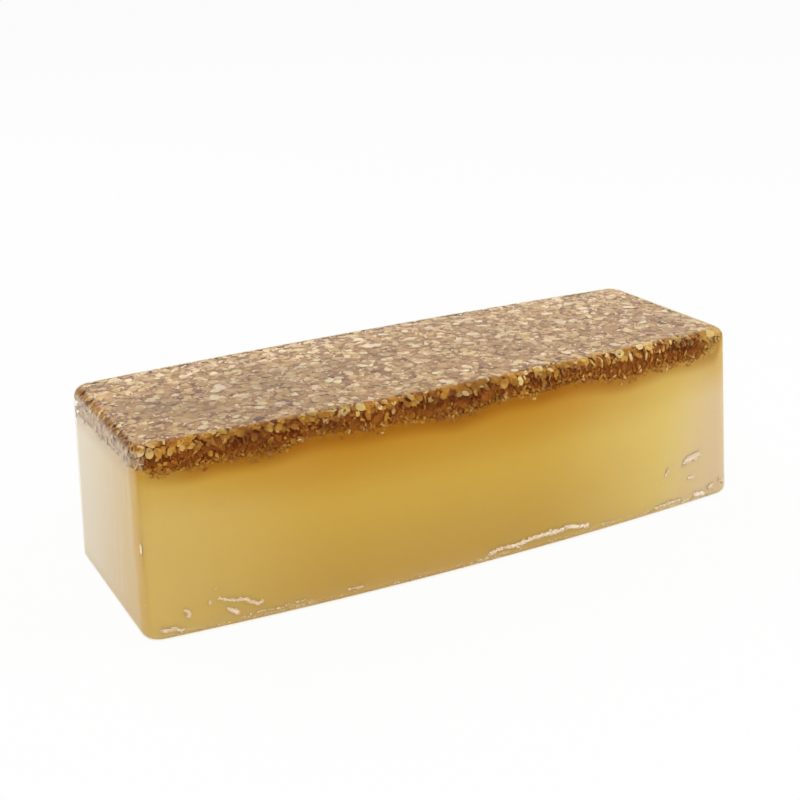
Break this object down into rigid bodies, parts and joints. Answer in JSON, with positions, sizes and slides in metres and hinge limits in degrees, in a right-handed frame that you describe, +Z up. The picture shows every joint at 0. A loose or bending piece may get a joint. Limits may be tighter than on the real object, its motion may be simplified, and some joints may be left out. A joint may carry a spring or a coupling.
{
  "type": "bar of soap",
  "caption": "Uncut loaf bar of translucent honey soap, a tapered block with rounded edges and a bed of oat flakes set in its top.",
  "frame": {"origin": "centre of the base, on the surface that the loaf stands on", "axes": "+X along the loaf, +Y across it, towards the side that the picture doesn't show, +Z up through the oat layer"},
  "size_m": [0.2548, 0.0972, 0.072],
  "materials": {
    "honey_soap": "translucent amber soap with a soft gloss, paler at its ends and edges",
    "oat_flakes_in_soap": "pale and brown oat flakes held in amber soap, under a smooth moulded skin"
  },
  "bodies": {
    "root": {"soap_body": "honey_soap", "oat_layer": "oat_flakes_in_soap"}
  },
  "joints": []
}
